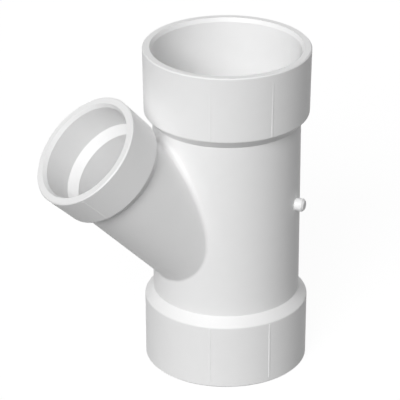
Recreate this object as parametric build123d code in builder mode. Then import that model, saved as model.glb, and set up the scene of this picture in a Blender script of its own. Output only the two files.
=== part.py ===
"""Lateral wye fitting: a moulded PVC drainage wye whose branch is one size smaller.

The run stands on the Z axis with its lower rim on z = 0. The branch leaves it
at 45 degrees, upwards and towards -X, in the XZ plane. Each of the three ends
is a hub whose socket has a lead-in, a tapered mouth, a parallel land and a
sloping stop. The wall follows the waterway, so every hub has a shoulder
outside where it has a stop inside. Lengths are in millimetres and angles in
degrees.
"""

import os
from math import cos, radians, sin

from build123d import *

# Run, for 3 inch pipe: its sockets, its wall and its hubs
run_pipe_diameter = 88.9
run_socket_depth = 38.1
run_land_length = 19.0
run_stop_width = 5.55
run_wall = 5.5
run_hub_wall = 4.95
top_rim_flare = 0.75
bottom_rim_taper = 0.25

# Branch, for 2 inch pipe
branch_angle = 45.0
branch_pipe_diameter = 60.3
branch_socket_depth = 21.4
branch_land_length = 10.0
branch_stop_width = 3.95
branch_wall = 4.35
branch_hub_wall = 4.75
branch_rim_flare = 0.95

# All three hubs
pipe_clearance = 0.05
mouth_widening = 0.125
lead_in_width = 1.35
lead_in_depth = 2.4
stop_length = 5.3
stop_to_hub_base = 2.3
shoulder_length = 5.6

# Plain wall left below and above the branch, and the gap between its hub and the upper one
heel_land = 16.0
crotch_land = 8.2
hub_gap = 5.75

# Edges
rim_chamfer = 0.7
hub_base_round = 1.5
outer_junction_round = 3.0
inner_junction_round = 2.5

# Gate stub, where the plastic entered the mould: its height is above mid-height
gate_diameter = 8.0
gate_length = 5.5
gate_rise = 5.6
gate_azimuth = -51.5
gate_chamfer = 1.2

# A cut runs past the face that it opens by this much
overrun = 1.0

# Radii, from the pipe outwards and inwards
run_land_radius = run_pipe_diameter / 2 + pipe_clearance
run_bore_radius = run_land_radius - run_stop_width
run_body_radius = run_bore_radius + run_wall
run_hub_radius = run_land_radius + mouth_widening + run_hub_wall
branch_land_radius = branch_pipe_diameter / 2 + pipe_clearance
branch_bore_radius = branch_land_radius - branch_stop_width
branch_body_radius = branch_bore_radius + branch_wall
branch_hub_radius = branch_land_radius + mouth_widening + branch_hub_wall

# Heights: the branch's outline meets the run's wall at its heel and, higher up, at its crotch
slope_cos = cos(radians(branch_angle))
slope_sin = sin(radians(branch_angle))
run_hub_length = run_socket_depth + stop_to_hub_base
branch_hub_length = branch_socket_depth + stop_to_hub_base
heel_height = run_hub_length + shoulder_length + heel_land
branch_height = heel_height - (run_body_radius * slope_cos - branch_body_radius) / slope_sin
crotch_height = heel_height + 2 * branch_body_radius / slope_sin
overall_height = crotch_height + crotch_land + shoulder_length + run_hub_length

# How far the branch's rim is along its axis, so that its hub clears the upper one
hub_base_reach = (run_hub_radius + hub_gap + branch_hub_radius * slope_cos) / slope_sin
branch_reach = hub_base_reach + branch_hub_length

branch_start = Vector(0, 0, branch_height)
branch_axis = Axis(branch_start, (-slope_sin, 0, slope_cos))
branch_section = Plane(branch_start, x_dir=(slope_cos, 0, slope_sin), z_dir=(0, -1, 0))

gate_height = overall_height / 2 + gate_rise
gate_direction = Vector(1, 0, 0).rotate(Axis.Z, gate_azimuth)
gate_end = Plane(gate_direction * (run_body_radius + gate_length) + (0, 0, gate_height), z_dir=gate_direction)


def hub_outline(body_radius, hub_radius, flare, hub_length, rim_at, outwards):
    """A hub's outside from body to rim, as (radius, place along the axis).

    outwards is 1 where the axis points out of the mouth and -1 where it points in.
    """
    base_at = rim_at - outwards * hub_length
    return [
        (body_radius, base_at - outwards * shoulder_length),
        (hub_radius, base_at),
        (hub_radius + flare, rim_at),
    ]


def socket_outline(bore_radius, land_radius, land_length, depth, rim_at, outwards):
    """A socket's wall from the waterway to past the rim, as (radius, place along the axis)."""
    mouth_radius = land_radius + mouth_widening
    lead_in_slope = lead_in_width / lead_in_depth
    return [
        (bore_radius, rim_at - outwards * (depth + stop_length)),
        (land_radius, rim_at - outwards * depth),
        (land_radius, rim_at - outwards * (depth - land_length)),
        (mouth_radius, rim_at - outwards * lead_in_depth),
        (mouth_radius + lead_in_width + lead_in_slope * overrun, rim_at + outwards * overrun),
    ]


def run_socket(rim_at, outwards):
    """The wall of one of the run's two sockets."""
    return socket_outline(
        run_bore_radius, run_land_radius, run_land_length, run_socket_depth, rim_at, outwards
    )


def turned(points, section, axis, rounded=(), chamfered=()):
    """Fill an outline in to its axis, finish the named corners of it and turn it about the axis."""
    with BuildPart() as solid:
        with BuildSketch(section) as profile:
            with BuildLine():
                Polyline((0, points[0][1]), *points, (0, points[-1][1]), close=True)
            make_face()
            for corner in rounded:
                fillet(profile.vertices().sort_by_distance(corner)[0], hub_base_round)
            for corner in chamfered:
                chamfer(profile.vertices().sort_by_distance(corner)[0], rim_chamfer)
        revolve(axis=axis)
    return solid.part


top_hub = hub_outline(
    run_body_radius, run_hub_radius, top_rim_flare, run_hub_length, overall_height, 1
)
bottom_hub = hub_outline(
    run_body_radius, run_hub_radius, -bottom_rim_taper, run_hub_length, 0, -1
)
branch_hub = hub_outline(
    branch_body_radius, branch_hub_radius, branch_rim_flare, branch_hub_length, branch_reach, 1
)
branch_socket = socket_outline(
    branch_bore_radius, branch_land_radius, branch_land_length, branch_socket_depth, branch_reach, 1
)

run_outside = turned(
    bottom_hub[::-1] + top_hub, Plane.XZ, Axis.Z,
    rounded=(bottom_hub[1], top_hub[1]), chamfered=(bottom_hub[2], top_hub[2]),
)
branch_outside = turned(
    [(branch_body_radius, 0)] + branch_hub, branch_section, branch_axis,
    rounded=(branch_hub[1],), chamfered=(branch_hub[2],),
)
run_waterway = turned(run_socket(0, -1)[::-1] + run_socket(overall_height, 1), Plane.XZ, Axis.Z)
branch_waterway = turned([(branch_bore_radius, 0)] + branch_socket, branch_section, branch_axis)

# The waterway as one solid, so that its own junction is blended before it is cut
with BuildPart() as waterway:
    add(run_waterway)
    add(branch_waterway)
    fillet(waterway.edges(Select.NEW), inner_junction_round)

with BuildPart() as wye_body:
    add(run_outside)
    add(branch_outside)
    fillet(wye_body.edges(Select.NEW), outer_junction_round)

    # Gate stub, square to the run's wall and rooted in it
    with BuildSketch(gate_end):
        Circle(gate_diameter / 2)
    extrude(amount=-(gate_length + run_wall / 2))
    chamfer(wye_body.faces().sort_by_distance(gate_end.origin)[0].edges(), gate_chamfer)

    add(waterway.part, mode=Mode.SUBTRACT)

os.makedirs("parts", exist_ok=True)
wye_body.part.label = "wye_body"
export_step(wye_body.part, "parts/wye_body.step")
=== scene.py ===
"""Lateral wye fitting: the finish of its white PVC, its witness ridges and a plain studio."""

from math import atan2, cos, degrees, pi, radians, sin

import bpy
from bpy.props import FloatProperty, FloatVectorProperty, PointerProperty
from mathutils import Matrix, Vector


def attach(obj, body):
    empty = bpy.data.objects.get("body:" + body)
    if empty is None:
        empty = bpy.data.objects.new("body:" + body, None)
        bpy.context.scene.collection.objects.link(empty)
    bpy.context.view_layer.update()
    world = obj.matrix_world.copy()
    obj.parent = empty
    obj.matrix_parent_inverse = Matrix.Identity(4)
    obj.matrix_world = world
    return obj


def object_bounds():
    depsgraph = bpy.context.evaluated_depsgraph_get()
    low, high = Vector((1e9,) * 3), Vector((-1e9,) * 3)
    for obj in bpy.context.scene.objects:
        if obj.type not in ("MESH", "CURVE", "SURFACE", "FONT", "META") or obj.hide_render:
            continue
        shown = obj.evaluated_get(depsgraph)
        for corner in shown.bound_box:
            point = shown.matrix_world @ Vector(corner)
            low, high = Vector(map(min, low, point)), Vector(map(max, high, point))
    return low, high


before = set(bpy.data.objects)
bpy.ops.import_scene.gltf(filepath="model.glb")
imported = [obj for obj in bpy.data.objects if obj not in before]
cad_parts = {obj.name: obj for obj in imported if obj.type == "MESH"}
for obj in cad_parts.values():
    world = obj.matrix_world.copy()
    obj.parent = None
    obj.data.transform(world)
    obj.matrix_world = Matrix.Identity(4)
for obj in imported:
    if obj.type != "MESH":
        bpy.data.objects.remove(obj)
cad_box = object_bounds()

bl_info = {
    "name": "Lateral Wye Fitting",
    "version": (1, 0, 0),
    "blender": (4, 5, 0),
    "location": "3D Viewport > Sidebar > Wye",
    "description": "Finishes a moulded PVC wye and sets up a plain studio round it",
    "category": "Object",
}

MM = 0.001
BODY = "wye_body"

# Where the branch leaves the run's axis, and how far it leans from it
BRANCH_HEIGHT = 60.825 * MM
BRANCH_LEAN = radians(-45)

# The mould's joints, as turns about a hub's own axis
SIDE_JOINT = radians(89.0)
CORNER_JOINT = radians(132.6)

# For each hub, the joints that show, the radius and height at which its witness ridges start
# and end, and where its axis stands. The upper ridges sink into the rim's flare as they rise.
HUBS = {
    "upper": {
        "joints": (SIDE_JOINT, CORNER_JOINT),
        "foot": (49.59 * MM, 163.0 * MM), "head": (50.06 * MM, 197.0 * MM),
        "axis_height": 0, "lean": 0,
    },
    "lower": {
        "joints": (SIDE_JOINT, CORNER_JOINT),
        "foot": (49.34 * MM, 3.0 * MM), "head": (49.57 * MM, 39.5 * MM),
        "axis_height": 0, "lean": 0,
    },
    "branch": {
        "joints": (CORNER_JOINT,),
        "foot": (35.10 * MM, 114.3 * MM), "head": (35.92 * MM, 135.0 * MM),
        "axis_height": BRANCH_HEIGHT, "lean": BRANCH_LEAN,
    },
}

# Moulded PVC, and the painted surface that it stands on
PVC_WHITE = "F6F6F6"
PVC_SHADE = "F3F3F3"
FLOOR_WHITE = "F4F4F4"

# What is seen of the floor: the share that glows white, so that only the rest can darken
WHITE_SHARE = 0.9
WHITE_GLOW = 1.045

# The lamps: how wide each looks from the fitting, and how low the rear one stands
KEY_SOFTNESS = radians(30)
REAR_SOFTNESS = radians(15)
REAR_ELEVATION = radians(5)


def linear(hex_colour):
    """An sRGB hex colour as linear red, green and blue."""
    channels = [int(hex_colour[i : i + 2], 16) / 255 for i in (0, 2, 4)]
    return tuple(c / 12.92 if c <= 0.04045 else ((c + 0.055) / 1.055) ** 2.4 for c in channels)


class WyePlasticSettings(bpy.types.PropertyGroup):
    """The finish of the moulded PVC."""

    colour: FloatVectorProperty(
        name="Colour", description="Colour of the plastic", subtype="COLOR", size=3,
        min=0.0, max=1.0, default=linear(PVC_WHITE),
    )
    shade: FloatVectorProperty(
        name="Shade", description="Colour of the plastic where its pigment is a little thinner",
        subtype="COLOR", size=3, min=0.0, max=1.0, default=linear(PVC_SHADE),
    )
    roughness: FloatProperty(
        name="Roughness", description="Roughness that the mould's polish leaves",
        default=0.5, min=0.0, max=1.0, subtype="FACTOR",
    )
    ripple: FloatProperty(
        name="Ripple", description="Width of the slow ripples that shrinkage leaves in the wall",
        default=9 * MM, min=0.0, unit="LENGTH",
    )
    grain: FloatProperty(
        name="Grain", description="Width of the grain that the mould's steel leaves",
        default=0.7 * MM, min=0.0, unit="LENGTH",
    )


class WyeWitnessSettings(bpy.types.PropertyGroup):
    """The fine ridges that the mould's joints leave along the hubs."""

    width: FloatProperty(
        name="Width", description="Width of a witness ridge", default=1.4 * MM, min=0.0, unit="LENGTH",
    )
    height: FloatProperty(
        name="Height", description="How far a witness ridge stands off the hub",
        default=0.18 * MM, min=0.0, unit="LENGTH",
    )
    crown: FloatProperty(
        name="Crown", description="Share of a witness ridge's width that its flat crown takes",
        default=0.16, min=0.02, max=0.9, subtype="FACTOR",
    )


class WyeStageSettings(bpy.types.PropertyGroup):
    """The camera, the lamps and the floor."""

    camera_azimuth: FloatProperty(
        name="Azimuth", description="Which way round the fitting the camera stands",
        default=radians(-30.87), subtype="ANGLE",
    )
    camera_elevation: FloatProperty(
        name="Elevation", description="How far the camera looks down",
        default=radians(25.42), subtype="ANGLE",
    )
    camera_distance: FloatProperty(
        name="Distance", description="From the camera to the point that it looks at",
        default=1.6454, min=0.1, unit="LENGTH",
    )
    camera_aim: FloatVectorProperty(
        name="Aim", description="The point that the camera looks at",
        default=(-0.0137, 0.0082, 0.1022), size=3, subtype="XYZ", unit="LENGTH",
    )
    camera_lens: FloatProperty(
        name="Lens", description="Focal length, in millimetres on a 36 mm sensor", default=244.5, min=1.0,
    )
    key_azimuth: FloatProperty(
        name="Key azimuth", description="How far to the camera's left the lamp stands",
        default=radians(20), subtype="ANGLE",
    )
    key_elevation: FloatProperty(
        name="Key elevation", description="How high the lamp stands", default=radians(33), subtype="ANGLE",
    )
    key_strength: FloatProperty(
        name="Key lamp", description="Strength of the lamp in front, to the left", default=2.33, min=0.0,
    )
    rear_strength: FloatProperty(
        name="Rear lamp", description="Strength of the low lamp behind, which shapes the far side",
        default=1.2, min=0.0,
    )
    ambient: FloatProperty(
        name="Room light", description="Strength of the light from all round", default=0.27, min=0.0,
    )
    bounce: FloatProperty(
        name="Floor bounce", description="How much of its light the floor sends back up",
        default=0.2, min=0.0, max=1.0, subtype="FACTOR",
    )


def settings():
    """The add-on's settings for this scene."""
    return bpy.context.scene.wye


class WyeSettings(bpy.types.PropertyGroup):
    """All the settings of the fitting and its studio."""

    plastic: PointerProperty(type=WyePlasticSettings)
    witness: PointerProperty(type=WyeWitnessSettings)
    stage: PointerProperty(type=WyeStageSettings)


def node(tree, kind, inputs=None, **values):
    """Add a node with its settings, its inputs' values and the links into it."""
    made = tree.nodes.new(kind)
    for name, value in values.items():
        setattr(made, name, value)
    for name, value in (inputs or {}).items():
        if isinstance(value, bpy.types.NodeSocket):
            tree.links.new(value, made.inputs[name])
        else:
            made.inputs[name].default_value = value
    return made


def empty_material(name):
    """A material with nothing in it but its output."""
    material = bpy.data.materials.new(name)
    material.use_nodes = True
    material.node_tree.nodes.clear()
    output = material.node_tree.nodes.new("ShaderNodeOutputMaterial")
    return material, material.node_tree, output


def moulded_pvc(plastic):
    """Injection-moulded white PVC: an even opaque white with a soft gloss.

    The eye gets a clean white, slow ripples where thick walls shrank as they
    cooled, and the grain of the mould's steel, which is drawn coarser than it
    is so that it shows.
    """
    made = bpy.data.materials.get("PVC white, injection moulded")
    if made:
        return made
    material, tree, output = empty_material("PVC white, injection moulded")
    ripple_depth = 0.12 * MM
    grain_depth = 0.02 * MM
    gloss_spread = 0.05
    place = node(tree, "ShaderNodeTexCoord").outputs["Object"]
    ripple = node(
        tree, "ShaderNodeTexNoise", {"Vector": place, "Scale": 1 / plastic.ripple, "Detail": 2.0}
    ).outputs["Fac"]
    grain = node(
        tree, "ShaderNodeTexNoise", {"Vector": place, "Scale": 1 / plastic.grain, "Detail": 3.0}
    ).outputs["Fac"]
    # Sockets 6 and 7 of a colour mix are its two colours, and output 2 is its result
    blend = node(
        tree, "ShaderNodeMix", {"Factor": ripple, 6: (*plastic.shade, 1), 7: (*plastic.colour, 1)},
        data_type="RGBA",
    ).outputs[2]
    gloss = node(
        tree, "ShaderNodeMapRange",
        {
            "Value": grain,
            "To Min": plastic.roughness - gloss_spread, "To Max": plastic.roughness + gloss_spread,
        },
    ).outputs["Result"]
    waves = node(
        tree, "ShaderNodeBump", {"Height": ripple, "Strength": 0.25, "Distance": ripple_depth}
    ).outputs["Normal"]
    relief = node(
        tree, "ShaderNodeBump",
        {"Height": grain, "Strength": 0.3, "Distance": grain_depth, "Normal": waves},
    ).outputs["Normal"]
    shader = node(
        tree, "ShaderNodeBsdfPrincipled",
        {"Base Color": blend, "Roughness": gloss, "IOR": 1.53, "Normal": relief},
    )
    tree.links.new(shader.outputs["BSDF"], output.inputs["Surface"])
    return material


class WYE_OT_body(bpy.types.Operator):
    """Give the moulded body its plastic"""

    bl_idname = "wye.body"
    bl_label = "Moulded body"

    def execute(self, context):
        """Put the plastic in the body's material slots."""
        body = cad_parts[BODY]
        plastic = moulded_pvc(settings().plastic)
        if not body.material_slots:
            raise RuntimeError("the body has no material slot")
        for material_slot in body.material_slots:
            material_slot.material = plastic
        return {"FINISHED"}


def place_mesh():
    """Put the selected piece's place, turn and scale into its mesh."""
    bpy.ops.object.transform_apply(location=True, rotation=True, scale=True)


def witness_ridge(foot, head, witness):
    """Model one low ridge along an upright hub, on the side that faces +X, from foot to head.

    Its two outer edges are bevelled into slopes, and what doesn't stand off the hub is sunk in it.
    """
    bpy.ops.object.select_all(action="DESELECT")
    bpy.ops.mesh.primitive_cube_add(size=1)
    ridge = bpy.context.object
    bpy.ops.object.mode_set(mode="EDIT")
    bpy.ops.mesh.select_mode(type="EDGE")
    bpy.ops.mesh.select_all(action="DESELECT")
    bpy.ops.object.mode_set(mode="OBJECT")
    for edge in ridge.data.edges:
        low, high = (ridge.data.vertices[i].co for i in edge.vertices)
        edge.select = low.x > 0 and high.x > 0 and low.z != high.z
    slope = (1 - witness.crown) / 2
    bpy.ops.object.mode_set(mode="EDIT")
    bpy.ops.mesh.bevel(offset=slope, segments=3)
    bpy.ops.mesh.select_all(action="SELECT")
    bpy.ops.mesh.normals_make_consistent(inside=False)
    bpy.ops.object.mode_set(mode="OBJECT")
    depth = witness.height / slope
    ridge.scale = (depth, witness.width, head[1] - foot[1])
    ridge.location = ((foot[0] + head[0]) / 2 + witness.height - depth / 2, 0, (foot[1] + head[1]) / 2)
    ridge.rotation_euler.y = atan2(head[0] - foot[0], head[1] - foot[1])
    place_mesh()
    bpy.ops.object.shade_smooth_by_angle(angle=radians(20))
    ridge.data.materials.append(moulded_pvc(settings().plastic))
    return ridge


def copy_ridge(ridge, name, turn, hub):
    """Copy a ridge to one joint of the mould: turned about its hub's axis, then leant with the hub."""
    bpy.ops.object.select_all(action="DESELECT")
    ridge.select_set(True)
    bpy.context.view_layer.objects.active = ridge
    bpy.ops.object.duplicate(linked=False)
    made = bpy.context.object
    made.name = name
    made.rotation_euler.z = turn
    place_mesh()
    made.rotation_euler.y = hub["lean"]
    made.location.z = hub["axis_height"]
    place_mesh()
    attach(made, "root")


class WYE_OT_witness(bpy.types.Operator):
    """Run the mould's witness ridges along the three hubs"""

    bl_idname = "wye.witness"
    bl_label = "Witness ridges"

    def execute(self, context):
        """Model a ridge for each hub and copy it to each joint, alike on the front and the back."""
        witness = settings().witness
        for name, hub in HUBS.items():
            ridge = witness_ridge(hub["foot"], hub["head"], witness)
            for joint in hub["joints"]:
                turn = round(degrees(joint))
                copy_ridge(ridge, f"witness_{name}_front_{turn}", -joint, hub)
                copy_ridge(ridge, f"witness_{name}_back_{turn}", joint, hub)
            bpy.data.objects.remove(ridge)
        return {"FINISHED"}


def seen_directly(tree):
    """One where a ray comes from the camera, a reflection or through glass, and nought elsewhere."""
    paths = node(tree, "ShaderNodeLightPath").outputs
    direct = node(
        tree, "ShaderNodeMath", {0: paths["Is Camera Ray"], 1: paths["Is Glossy Ray"]}, operation="MAXIMUM"
    ).outputs[0]
    return node(
        tree, "ShaderNodeMath", {0: direct, 1: paths["Is Transmission Ray"]}, operation="MAXIMUM"
    ).outputs[0]


def painted_floor(bounce):
    """Matt white paint, which shows as the white of the background but keeps the fitting's shadow.

    The eye gets white with a faint shadow in it; the fitting gets back only the share of the light
    that bounce says, which is less than such paint would send.
    """
    material, tree, output = empty_material("Paint white, matt")
    paint = node(tree, "ShaderNodeBsdfDiffuse", {"Color": (*linear(FLOOR_WHITE), 1)}).outputs[0]
    dimmed = node(tree, "ShaderNodeBsdfDiffuse", {"Color": (bounce, bounce, bounce, 1)}).outputs[0]
    glow = node(tree, "ShaderNodeEmission", {"Color": (1, 1, 1, 1), "Strength": WHITE_GLOW}).outputs[0]
    seen = node(tree, "ShaderNodeMixShader", {0: WHITE_SHARE, 1: paint, 2: glow}).outputs[0]
    shown = seen_directly(tree)
    surface = node(tree, "ShaderNodeMixShader", {0: shown, 1: dimmed, 2: seen}).outputs[0]
    tree.links.new(surface, output.inputs["Surface"])
    return material


def room(ambient):
    """A white room: what is seen of it is white, and what it lends to the fitting is ambient."""
    world = bpy.data.worlds.new("White room")
    world.use_nodes = True
    tree = world.node_tree
    tree.nodes.clear()
    strength = node(
        tree, "ShaderNodeMapRange", {"Value": seen_directly(tree), "To Min": ambient, "To Max": 1.0}
    ).outputs[0]
    background = node(tree, "ShaderNodeBackground", {"Color": (1, 1, 1, 1), "Strength": strength})
    output = node(tree, "ShaderNodeOutputWorld")
    tree.links.new(background.outputs[0], output.inputs["Surface"])
    bpy.context.scene.world = world


def lamp(name, azimuth, elevation, strength, softness, glints=True):
    """A far soft lamp that shines on the fitting from that azimuth and elevation.

    Without glints it lights the plastic but isn't mirrored in it.
    """
    bpy.ops.object.light_add(type="SUN")
    made = bpy.context.object
    made.name = name
    back = Vector((sin(azimuth) * cos(elevation), -cos(azimuth) * cos(elevation), sin(elevation)))
    made.location = back
    made.rotation_euler = back.to_track_quat("Z", "Y").to_euler()
    made.data.energy = strength
    made.data.angle = softness
    made.visible_glossy = glints
    return made


class WYE_OT_stage(bpy.types.Operator):
    """Set up the floor, the lamps, the room and the camera"""

    bl_idname = "wye.stage"
    bl_label = "Studio"

    def execute(self, context):
        """Make the studio round the fitting."""
        stage = settings().stage
        low, high = cad_box
        size = (high - low).length
        bpy.ops.object.select_all(action="DESELECT")
        bpy.ops.mesh.primitive_plane_add(size=40 * size, location=(0, 0, low.z))
        floor = bpy.context.object
        floor.name = "floor"
        bpy.ops.object.transform_apply(location=True, rotation=True, scale=True)
        floor.data.materials.append(painted_floor(stage.bounce))
        lamp(
            "key", stage.camera_azimuth - stage.key_azimuth, stage.key_elevation, stage.key_strength,
            KEY_SOFTNESS,
        )
        lamp(
            "rear", stage.camera_azimuth + pi, REAR_ELEVATION, stage.rear_strength, REAR_SOFTNESS,
            glints=False,
        )
        room(stage.ambient)
        back = Vector((
            sin(stage.camera_azimuth) * cos(stage.camera_elevation),
            -cos(stage.camera_azimuth) * cos(stage.camera_elevation),
            sin(stage.camera_elevation),
        ))
        bpy.ops.object.camera_add()
        camera = bpy.context.object
        camera.name = "camera"
        camera.location = Vector(stage.camera_aim) + back * stage.camera_distance
        camera.rotation_euler = (-back).to_track_quat("-Z", "Y").to_euler()
        camera.data.lens = stage.camera_lens
        camera.data.sensor_width = 36
        context.scene.camera = camera
        context.scene.view_settings.view_transform = "Standard"
        return {"FINISHED"}


class WYE_PT_panel(bpy.types.Panel):
    """The fitting's settings and the steps that make it"""

    bl_idname = "WYE_PT_panel"
    bl_label = "Lateral Wye Fitting"
    bl_space_type = "VIEW_3D"
    bl_region_type = "UI"
    bl_category = "Wye"

    def draw(self, context):
        """List the steps, and the settings of each."""
        for operator in OPERATORS:
            self.layout.operator(operator.bl_idname)
        for group in (settings().plastic, settings().witness, settings().stage):
            box = self.layout.box()
            for name in group.__annotations__:
                box.prop(group, name)


OPERATORS = (WYE_OT_body, WYE_OT_witness, WYE_OT_stage)
CLASSES = (
    WyePlasticSettings, WyeWitnessSettings, WyeStageSettings, WyeSettings, *OPERATORS, WYE_PT_panel,
)


def register():
    """Add the classes and the scene's settings."""
    for cls in CLASSES:
        bpy.utils.register_class(cls)
    bpy.types.Scene.wye = PointerProperty(type=WyeSettings)


def unregister():
    """Take the settings and the classes away."""
    del bpy.types.Scene.wye
    for cls in reversed(CLASSES):
        bpy.utils.unregister_class(cls)


def main():
    """Make everything in order."""
    register()
    bpy.ops.wye.body()
    bpy.ops.wye.witness()
    bpy.ops.wye.stage()


if __name__ == "__main__":
    main()
